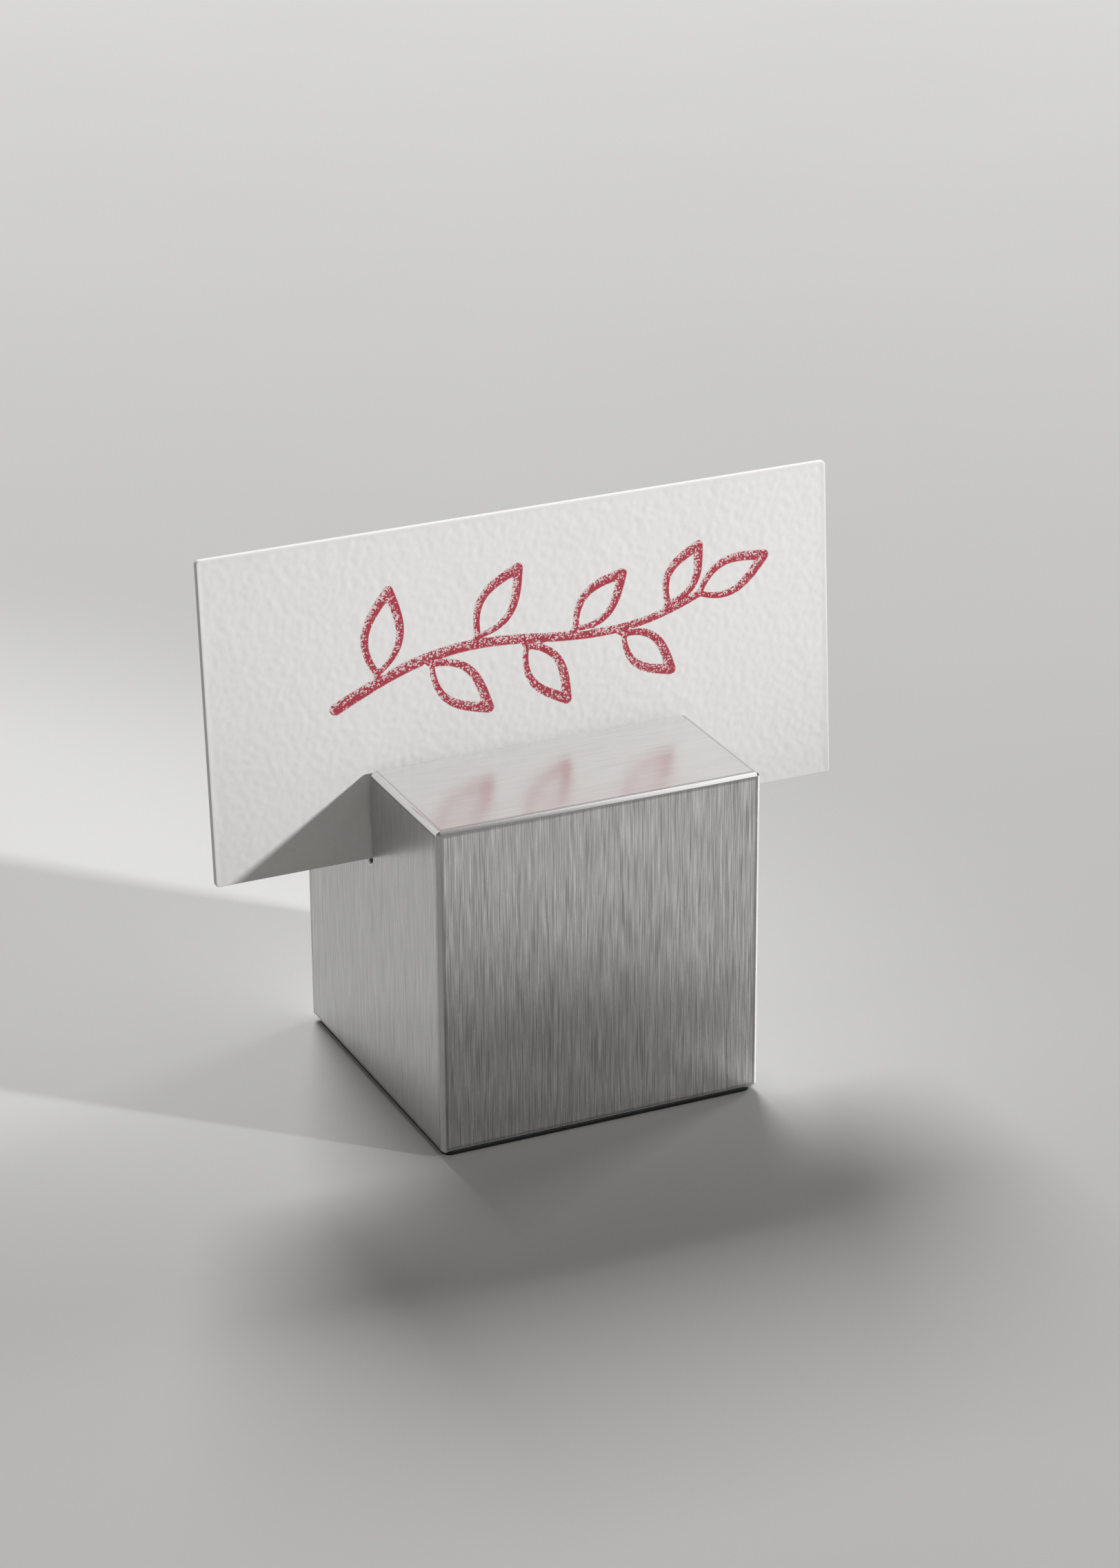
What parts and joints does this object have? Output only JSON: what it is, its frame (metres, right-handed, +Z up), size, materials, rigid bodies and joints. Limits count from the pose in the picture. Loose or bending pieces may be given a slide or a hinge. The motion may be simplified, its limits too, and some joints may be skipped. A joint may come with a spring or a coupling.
{
  "type": "place card holder",
  "caption": "Brushed steel cube with a slot across its top that holds a paper place card leaning slightly back, on a thin rubber pad.",
  "frame": {"origin": "on the table, under the middle of the cube, at the underside of the pad", "axes": "+Z up, +X along the slot and the card's width, -Y towards the reader, so the card's front faces -Y"},
  "size_m": [0.078, 0.04, 0.0681],
  "materials": {
    "brushed_steel": "straight brushed grain, satin",
    "glue_film": "thin grey film",
    "rubber_pad": "matt black",
    "card_paper": "heavy off-white stock with a rough tooth"
  },
  "bodies": {
    "holder": {"steel_cube": "brushed_steel", "pad_film": "glue_film", "base_pad": "rubber_pad"},
    "card": {"place_card": "card_paper"}
  },
  "joints": [
    {"name": "card_lift", "type": "slide", "parent": "holder", "child": "card", "axis": [0, 0.0653, 0.9979], "range_m": [0, 0.02]}
  ]
}
